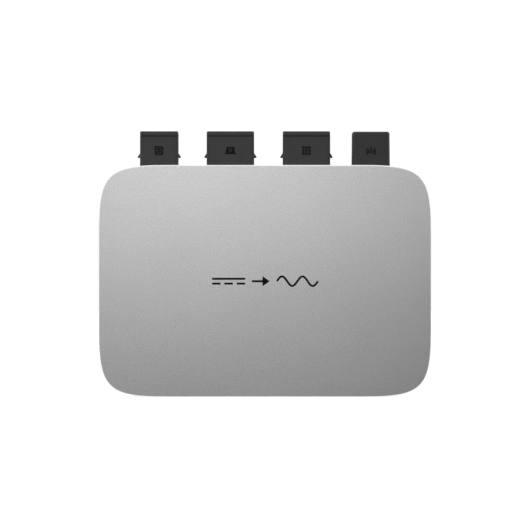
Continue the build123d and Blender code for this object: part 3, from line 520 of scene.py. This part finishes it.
def make_label_ruling():
    """Blank ruled fields on the rating label, with nothing written in them."""
    low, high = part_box("rating_label")
    x, z = (low.x + high.x) / 2, (low.z + high.z) / 2
    outer = rounded(0, 0, LABEL_WIDTH, LABEL_HEIGHT, 1.6)
    inner = rounded(0, 0, LABEL_WIDTH - 2 * LABEL_LINE, LABEL_HEIGHT - 2 * LABEL_LINE, 1.2)
    rows = [rounded(0, ROW_PITCH * k, ROW_LENGTH, ROW_STROKE, 0.2) for k in (2, 1, 0, -1, -2)]
    posts = [rounded(POST_X, ROW_PITCH * k, POST_STROKE, POST_HEIGHT, 0.2) for k in (1.5, 0.5, -0.5, -1.5)]
    loops = [outer, inner, *rows, *posts]
    printed("label_ruling", scaled(loops, x, z), high.y, "ruling_ink", toward=1)


make_front_mark()
make_icons()
make_label_ruling()


# ---------------------------------------------------------------- windings

def millimetres(value):
    """A size or place of the frame in millimetres, to the nearest micrometre."""
    return round(value / MM, 3)


def middle_of(node):
    """Middle of a node seen from the front, in millimetres."""
    low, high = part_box(node)
    return millimetres((low.x + high.x) / 2), millimetres((low.z + high.z) / 2)


# Places on the board seen from the front, in millimetres
BOARD_FRONT, BOARD_BACK = (millimetres(corner.y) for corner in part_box("main_board"))
INDUCTOR_PLACES = [(24, 112), (56, 84)]
CHOKE_PLACE = middle_of("choke_core")
TRANSFORMER_PLACES = [(-38, 62), (8, 62)]

# Ring cores in millimetres: inner and outer radius, then the near and the far face over the board
INDUCTOR_CORE = (6.5, 12, 2, 13)
CHOKE_CORE = (7, 13, 2, 12)
WIRE_RADIUS = 0.6 * MM
WIRE_CLEARANCE = 0.14 * MM       # between wire and core
TURN_BEND = 1.1 * MM             # radius of a turn's corners
TURN_STEPS = 28
INDUCTOR_TURNS, CHOKE_TURNS = 24, 10
INDUCTOR_START, INDUCTOR_END = -68, 248      # degrees round the ring
CHOKE_STARTS, CHOKE_SPAN = (-62, 118), 124
TAPE_INNER, TAPE_OUTER = 7.7 * MM, 13.9 * MM
TAPE_WRAPS, TAPE_SIDES = 5, 72


def tube(path, radius, sides=8):
    """Vertices and faces of a round wire along a path of points, closed at both ends."""
    points = [Vector(p) for p in path]
    verts, faces = [], []
    tangent = (points[1] - points[0]).normalized()
    normal = tangent.orthogonal().normalized()
    for k, point in enumerate(points):
        ahead = (points[min(k + 1, len(points) - 1)] - points[max(k - 1, 0)]).normalized()
        normal = (normal - ahead * normal.dot(ahead)).normalized()
        across = ahead.cross(normal)
        for j in range(sides):
            angle = 2 * math.pi * j / sides
            verts.append(point + radius * (normal * math.cos(angle) + across * math.sin(angle)))
        if k:
            ring, last = k * sides, (k - 1) * sides
            for j in range(sides):
                n = (j + 1) % sides
                faces.append((last + j, last + n, ring + n, ring + j))
    faces.append(tuple(range(sides))[::-1])
    faces.append(tuple(range(len(verts) - sides, len(verts))))
    return verts, faces


def ring_turn(share, inner, outer, low, high):
    """Radius and depth at a share of the way round a ring core's rectangular section, with round corners."""
    corner = TURN_BEND
    straight_wide, straight_deep = outer - inner - 2 * corner, high - low - 2 * corner
    quarter = math.pi / 2 * corner
    runs = [straight_deep, quarter, straight_wide, quarter] * 2
    travel = share * sum(runs)
    corners = [(outer - corner, low + corner), (outer - corner, high - corner),
               (inner + corner, high - corner), (inner + corner, low + corner)]
    for k, run in enumerate(runs):
        if travel <= run or k == len(runs) - 1:
            break
        travel -= run
    side, turning = k // 2, k % 2
    headings = [(0, 1), (-1, 0), (0, -1), (1, 0)]
    outwards = [(1, 0), (0, 1), (-1, 0), (0, -1)]
    (r0, y0), (hr, hy), (nr, ny) = corners[side], headings[side], outwards[side]
    if not turning:
        return r0 + nr * corner + hr * travel, y0 + ny * corner + hy * travel
    r1, y1 = corners[(side + 1) % 4]
    angle = travel / corner
    mr, my = outwards[(side + 1) % 4]
    return (r1 + corner * (nr * math.cos(angle) + mr * math.sin(angle)),
            y1 + corner * (ny * math.cos(angle) + my * math.sin(angle)))


def ring_wire(place, core, start, end, turns):
    """A wire wound round a ring core from one angle to another, with both tails down to the board."""
    x, z = place[0] * MM, place[1] * MM
    inner, outer, low, high = ring_size(*core)
    steps = turns * TURN_STEPS
    path = []
    for k in range(steps + 1):
        radius, depth = ring_turn((k / TURN_STEPS) % 1.0, inner, outer, low, high)
        angle = math.radians(start + (end - start) * k / steps)
        path.append((x + radius * math.cos(angle), depth, z + radius * math.sin(angle)))
    for end_index in (0, len(path)):
        x0, _, z0 = path[min(end_index, len(path) - 1)]
        path.insert(end_index, (x0, BOARD_BACK * MM, z0))
    return tube(path, WIRE_RADIUS)


def mesh_piece(name, parts, material, nodes_replaced=()):
    """One piece made of several closed bodies, riding on the housing."""
    verts, faces = [], []
    for part_verts, part_faces in parts:
        base = len(verts)
        verts.extend(part_verts)
        faces.extend(tuple(base + i for i in face) for face in part_faces)
    mesh = bpy.data.meshes.new(name)
    mesh.from_pydata(verts, [], faces)
    mesh.materials.append(material)
    mesh.shade_smooth()
    piece = bpy.data.objects.new(name, mesh)
    bpy.context.scene.collection.objects.link(piece)
    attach(piece, "housing")
    if nodes_replaced:
        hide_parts(*nodes_replaced)
    return piece


def ring_size(inner, outer, near, far):
    """Section that the middle of the wire follows round a core, in metres."""
    gap = WIRE_RADIUS + WIRE_CLEARANCE
    return inner * MM - gap, outer * MM + gap, (BOARD_BACK + near) * MM - gap, (BOARD_BACK + far) * MM + gap


def make_windings():
    """Separate turns of copper wire on the two boost inductors and on both halves of the choke."""
    copper = materials["enamelled_copper"]
    inductors = [ring_wire(place, INDUCTOR_CORE, INDUCTOR_START, INDUCTOR_END, INDUCTOR_TURNS)
                 for place in INDUCTOR_PLACES]
    mesh_piece("boost_inductor_turns", inductors, copper, ["boost_inductor_windings"])
    halves = [ring_wire(CHOKE_PLACE, CHOKE_CORE, start, start + CHOKE_SPAN, CHOKE_TURNS)
              for start in CHOKE_STARTS]
    mesh_piece("choke_turns", halves, copper, ["choke_windings"])


def make_tape_wraps():
    """Taped coils of the transformers: overlapping wraps of tape with raised edges."""
    low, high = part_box("transformer_windings")
    width = (high.y - low.y) / TAPE_WRAPS
    wrap = ((0.32 * MM, 0.02), (0.30 * MM, 0.80), (0.0, 0.82), (0.02 * MM, 0.99))   # inset, share of width
    profile = [(TAPE_INNER, low.y)]
    for k in range(TAPE_WRAPS):
        start = low.y + k * width
        profile += [(TAPE_OUTER - inset, start + share * width) for inset, share in wrap]
    profile += [(TAPE_INNER, high.y)]
    count = len(profile)
    parts = []
    for x, z in TRANSFORMER_PLACES:
        verts, faces = [], []
        for j in range(TAPE_SIDES):
            angle = 2 * math.pi * j / TAPE_SIDES
            sway = 0.03 * MM * math.sin(3 * angle)
            for k, (radius, y) in enumerate(profile):
                shift = sway if 0 < k < count - 1 else 0.0
                verts.append((x * MM + radius * math.cos(angle), y + shift,
                              z * MM + radius * math.sin(angle)))
        for j in range(TAPE_SIDES):
            a, b = j * count, ((j + 1) % TAPE_SIDES) * count
            for k in range(count):
                n = (k + 1) % count
                faces.append((a + k, b + k, b + n, a + n))
        parts.append((verts, faces))
    mesh_piece("transformer_tape", parts, materials["winding_tape"], ["transformer_windings"])


make_windings()
make_tape_wraps()


# ---------------------------------------------------------------- small board parts
# Everything here is in millimetres, seen from the front.

SEED = 11
CONTROL_BACK = millimetres(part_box("control_board")[1].y)
BOARD_POSTS = [(-92, 46), (92, 46), (-92, 122), (92, 122), (0, 34), (-8, 128)]
FRONT_PACKAGES = [(-100, 84), (-54, 34), (-16, 44), (32, 40), (70, 30), (84, 66), (88, 96), (36, 68),
                  (-2, 108), (76, 116), (-52, 72), (30, 92)]
BACK_PACKAGES = [(-46, 43), (-22, 43), (22, 43), (46, 43)]
CONTROL_ROWS, CONTROL_FIRST, CONTROL_PITCH, CONTROL_CHIPS = (53, 66, 87), 77, 3.3, 7
CHIP_FINISHES = ("chip_epoxy", "chip_ceramic")

# A two-ended chip, its plated ends and the solder against them
CHIP_WIDTH, CHIP_LENGTH, CHIP_HEIGHT, CHIP_CAP = 1.25, 2.0, 0.6, 0.35
CHIP_GAP, CHIP_BEVEL = 0.03, 0.06
PLATE_OVER, PLATE_RISE, PLATE_BEVEL = 0.04, 0.06, 0.08
PAD_OUT, PAD_LENGTH, PAD_OVER, PAD_HEIGHT, PAD_BEVEL = 0.18, 0.5, 0.2, 0.28, 0.2

# An eight-legged package: each leg runs outwards and down, by distance from the middle and rise
PACKAGE = {"rise": 0.15, "width": 3.9, "length": 4.9, "height": 1.35, "bevel": 0.22}
LEGS, LEG_PITCH, LEG_RADIUS = 4, 1.27, 0.18 * MM
LEG_PATH = ((1.85, 0.85), (2.25, 0.85), (2.45, 0.7), (2.55, 0.2), (2.7, 0.1), (3.15, 0.1))

# A solder joint's outline, by radius and rise
JOINT_PROFILE = ((1.5, 0.0), (1.45, 0.06), (1.0, 0.22), (0.7, 0.5), (0.55, 0.9), (0.42, 1.15), (0.40, 1.5),
                 (0.28, 1.62))
JOINT_SIDES = 14

# Chips round a package: the rows above and below it, and the columns beside it
CHIP_ROW_STEP, CHIP_ROW_AWAY = 3.1, 5.2
CHIP_COLUMN_STEP, CHIP_COLUMN_AWAY = 2.6, 6.6
CHIP_REACH, CHIP_CHANCE, CONTROL_CHANCE = 4.2, 0.85, 0.8

# Places of each kind of part on the main board, and of its leads from there
BOARD_LEADS = (
    ([(x, z) for z in (108, 90) for x in (-40, -22)], [(-3.75, 0), (3.75, 0)]),   # electrolytics
    ([(-72, 49.5), (8, 84), (56, 122)], [(-7.5, 0), (7.5, 0)]),   # film capacitors
    (TRANSFORMER_PLACES, [(dx, dz) for dx in (-14, -7, 7, 14) for dz in (-8, 8)]),
    (INDUCTOR_PLACES, [(-5, -12), (5, -12)]),
    ([CHOKE_PLACE], [(dx, dz) for dx in (-6, 6) for dz in (-12.5, 12.5)]),
    ([(-86, 67), (-68, 67)], [(dx, dz) for dx in (-5, 5) for dz in (-7, 7)]),   # relays
    ([(-62, 123)], [(-9, 0), (9, 0)]),   # fuse
    ([(-81, 123)], [(-3.75, 0), (3.75, 0)]),   # varistor
)


class SmallParts:
    """Small parts on one face of a board, drawn in millimetres and sorted by finish."""

    def __init__(self, ground, toward):
        self.ground, self.toward = ground, toward
        self.bodies = {"chip_epoxy": [], "chip_ceramic": [], "solder": []}

    def point(self, x, z, rise):
        """A point over the board, in metres."""
        return Vector((x, self.ground + self.toward * rise, z)) * MM

    def slab(self, finish, x, z, rise, width, length, height, bevel):
        """Block with its upper edges broken; rise is the height of its underside."""
        verts = []
        for level, inset in ((0, 0), (height - bevel, 0), (height, bevel)):
            for sx, sz in ((-1, -1), (1, -1), (1, 1), (-1, 1)):
                corner_x, corner_z = x + sx * (width / 2 - inset), z + sz * (length / 2 - inset)
                verts.append(self.point(corner_x, corner_z, rise + level))
        faces = [(3, 2, 1, 0), (8, 9, 10, 11)]
        for low in (0, 4):
            faces += [(low + k, low + (k + 1) % 4, low + 4 + (k + 1) % 4, low + 4 + k) for k in range(4)]
        self.bodies[finish].append((verts, faces))

    def chip(self, x, z, upright, finish):
        """Two-ended chip: a body, two plated ends and the solder drawn up against them."""
        def lay(piece_finish, offset, along, across, rise, height, bevel):
            dx, dz = (0, offset) if upright else (offset, 0)
            size = (across, along) if upright else (along, across)
            self.slab(piece_finish, x + dx, z + dz, rise, *size, height, bevel)

        lay(finish, 0, CHIP_LENGTH - 2 * CHIP_CAP, CHIP_WIDTH, CHIP_GAP, CHIP_HEIGHT, CHIP_BEVEL)
        for end in (-1, 1):
            lay("solder", end * (CHIP_LENGTH - CHIP_CAP) / 2, CHIP_CAP, CHIP_WIDTH + PLATE_OVER, 0.0,
                CHIP_HEIGHT + PLATE_RISE, PLATE_BEVEL)
            lay("solder", end * (CHIP_LENGTH / 2 + PAD_OUT), PAD_LENGTH, CHIP_WIDTH + PAD_OVER, 0.0,
                PAD_HEIGHT, PAD_BEVEL)

    def package(self, x, z):
        """Eight-legged moulded package with bent legs."""
        self.slab("chip_epoxy", x, z, **PACKAGE)
        for side in (-1, 1):
            for k in range(LEGS):
                place = z + LEG_PITCH * (k - (LEGS - 1) / 2)
                path = [self.point(x + side * out, place, rise) for out, rise in LEG_PATH]
                self.bodies["solder"].append(tube(path, LEG_RADIUS, sides=6))

    def joint(self, x, z):
        """Solder joint of a lead that comes through the board: a hollow-sided cone round the lead's end."""
        sides, verts, faces = JOINT_SIDES, [], []
        for radius, rise in JOINT_PROFILE:
            for k in range(sides):
                angle = 2 * math.pi * k / sides
                verts.append(self.point(x + radius * math.cos(angle), z + radius * math.sin(angle), rise))
        for low in range(0, sides * (len(JOINT_PROFILE) - 1), sides):
            faces += [(low + k, low + (k + 1) % sides, low + sides + (k + 1) % sides, low + sides + k)
                      for k in range(sides)]
        faces.append(tuple(range(sides))[::-1])
        faces.append(tuple(range(len(verts) - sides, len(verts))))
        self.bodies["solder"].append((verts, faces))

    def finish_up(self, name):
        """Makes one piece of all the bodies of each finish."""
        for finish, parts in self.bodies.items():
            if parts:
                mesh_piece(f"{name}_{finish}", parts, materials[finish])


def clear_of(x, z, places, reach):
    """Whether nothing at the given places is within reach."""
    return all(math.hypot(x - px, z - pz) > reach for px, pz in places)


def joint_places():
    """Where leads come through the main board."""
    return [(x + dx, z + dz) for places, leads in BOARD_LEADS for x, z in places for dx, dz in leads]


def cluster(parts, chance, x, z, taken):
    """A package with small chips round it, left out wherever something else stands."""
    parts.package(x, z)
    spots = [(x + CHIP_ROW_STEP * k, z + side * CHIP_ROW_AWAY, True)
             for k in (-2, -1, 0, 1, 2) for side in (-1, 1)]
    spots += [(x + side * CHIP_COLUMN_AWAY, z + CHIP_COLUMN_STEP * k, False)
              for k in (-1, 0, 1) for side in (-1, 1)]
    for px, pz, upright in spots:
        finish = chance.choice(CHIP_FINISHES)
        if clear_of(px, pz, taken, CHIP_REACH) and chance.random() < CHIP_CHANCE:
            parts.chip(px, pz, upright, finish)


def make_small_parts():
    """Solder joints and small parts on the front of the main board, its back, and the control board."""
    chance = random.Random(SEED)
    joints = joint_places()
    front = SmallParts(BOARD_FRONT, -1)
    for x, z in joints:
        front.joint(x, z)
    for x, z in FRONT_PACKAGES:
        cluster(front, chance, x, z, joints + BOARD_POSTS)
    front.finish_up("board_front")
    back = SmallParts(BOARD_BACK, 1)
    for x, z in BACK_PACKAGES:
        cluster(back, chance, x, z, BOARD_POSTS)
    back.finish_up("board_back")
    control = SmallParts(CONTROL_BACK, 1)
    for z in CONTROL_ROWS:
        for k in range(CONTROL_CHIPS):
            if chance.random() < CONTROL_CHANCE:
                control.chip(CONTROL_FIRST + CONTROL_PITCH * k, z, True, chance.choice(CHIP_FINISHES))
    control.finish_up("control_board")


make_small_parts()


# ---------------------------------------------------------------- studio

FRAME_WIDTH = 0.3844             # metres that the picture's width covers at the front face
LENS, SENSOR = 200.0, 36.0
EYE_HEIGHT = 0.09606
FLOOR_HALF = 4.0
FLOOR_GLOW = 0.6
CAMERA_WHITE = 1.05              # strength of the surroundings that the camera sees
SIDE_LEVEL, FRONT_LEVEL = 0.95, 0.0          # light from the sides and behind, and from the front
FRONT_EDGE, SIDE_EDGE = -0.75, -0.40         # directions along Y between which the light rises
LEAN = 0.3                       # how much further forward the light reaches above than below
SOFTBOX_SIZE = 0.2
SOFTBOX_TARGET = (0, 0, 0.09)
# Place and power of each softbox
SOFTBOXES = [((-0.25, -0.85, 0.22), 0.26), ((-0.05, -0.85, 0.22), 0.17), ((0.05, -0.85, 0.30), 0.18),
             ((-0.05, -0.85, 0.30), 0.13), ((-0.25, -0.60, 0.28), 0.10), ((-0.05, -0.60, 0.28), 0.09),
             ((0.15, -0.60, 0.28), 0.08)]


def make_camera():
    """A long lens, level and square to the front."""
    camera = bpy.data.cameras.new("camera")
    camera.lens = LENS
    camera.sensor_width = SENSOR
    camera.clip_end = 50
    distance = FRAME_WIDTH * LENS / SENSOR
    eye = bpy.data.objects.new("camera", camera)
    eye.location = (0, cad_low.y - distance, EYE_HEIGHT)
    eye.rotation_euler = (math.pi / 2, 0, 0)
    bpy.context.scene.collection.objects.link(eye)
    bpy.context.scene.camera = eye


def make_softbox(name, place, power):
    """A square lamp turned towards the middle of the unit."""
    light = bpy.data.lights.new(name, "AREA")
    light.shape = "SQUARE"
    light.size = SOFTBOX_SIZE
    light.energy = power
    lamp = bpy.data.objects.new(name, light)
    lamp.location = place
    lamp.rotation_euler = (Vector(SOFTBOX_TARGET) - Vector(place)).to_track_quat("-Z", "Y").to_euler()
    bpy.context.scene.collection.objects.link(lamp)


def make_floor():
    """A plain white floor. It is white paper to the camera and open to other rays, so that the pale
    surroundings reach the underside too."""
    corners = [(FLOOR_HALF * sx, FLOOR_HALF * sy, 0) for sx, sy in ((-1, -1), (1, -1), (1, 1), (-1, 1))]
    mesh = bpy.data.meshes.new("floor")
    mesh.from_pydata(corners, [], [(0, 1, 2, 3)])
    floor = bpy.data.objects.new("floor", mesh)
    paper = Surface("floor_paper", specular=0.0)
    paper.color(tone(paper, grey(0.86), 0.01, 0.4))
    paper.rough(0.9)
    paper.bump(paper.noise(0.002), 0.00002)
    paper.shader.inputs["Emission Color"].default_value = (1, 1, 1, 1)
    paper.shader.inputs["Emission Strength"].default_value = FLOOR_GLOW
    path = paper.add("ShaderNodeLightPath")
    open_air = paper.add("ShaderNodeBsdfTransparent")
    choice = paper.add("ShaderNodeMixShader")
    paper.tree.links.new(path.outputs["Is Camera Ray"], choice.inputs[0])
    paper.tree.links.new(open_air.outputs[0], choice.inputs[1])
    paper.tree.links.new(paper.shader.outputs[0], choice.inputs[2])
    paper.tree.links.new(choice.outputs[0], paper.output.inputs["Surface"])
    mesh.materials.append(paper.material)
    bpy.context.scene.collection.objects.link(floor)


def make_world():
    """White surroundings at the sides and behind, dark on the camera's side. The camera sees plain white."""
    world = bpy.data.worlds.new("studio")
    world.use_nodes = True
    tree = world.node_tree
    background = tree.nodes["Background"]
    split = tree.nodes.new("ShaderNodeSeparateXYZ")
    fall = tree.nodes.new("ShaderNodeMapRange")
    fall.interpolation_type = "SMOOTHSTEP"
    tree.links.new(tree.nodes.new("ShaderNodeTexCoord").outputs["Generated"], split.inputs["Vector"])
    lean = tree.nodes.new("ShaderNodeMath")
    lean.operation = "MULTIPLY_ADD"
    lean.inputs[1].default_value = LEAN
    tree.links.new(split.outputs["Z"], lean.inputs[0])
    tree.links.new(split.outputs["Y"], lean.inputs[2])
    tree.links.new(lean.outputs[0], fall.inputs["Value"])
    for name, value in (("From Min", FRONT_EDGE), ("From Max", SIDE_EDGE),
                        ("To Min", FRONT_LEVEL), ("To Max", SIDE_LEVEL)):
        fall.inputs[name].default_value = value
    path = tree.nodes.new("ShaderNodeLightPath")
    choice = tree.nodes.new("ShaderNodeMix")
    tree.links.new(path.outputs["Is Camera Ray"], choice.inputs[MIX_FACTOR])
    tree.links.new(fall.outputs["Result"], choice.inputs[MIX_FIRST_NUMBER])
    choice.inputs[MIX_SECOND_NUMBER].default_value = CAMERA_WHITE
    tree.links.new(choice.outputs[MIX_NUMBER_RESULT], background.inputs["Strength"])
    background.inputs["Color"].default_value = (1, 1, 1, 1)
    bpy.context.scene.world = world
    bpy.context.scene.view_settings.view_transform = "Standard"


def make_studio():
    """Floor, surroundings and lamps."""
    make_floor()
    make_world()
    for index, (place, power) in enumerate(SOFTBOXES):
        make_softbox(f"softbox_{index}", place, power)


make_camera()
make_studio()
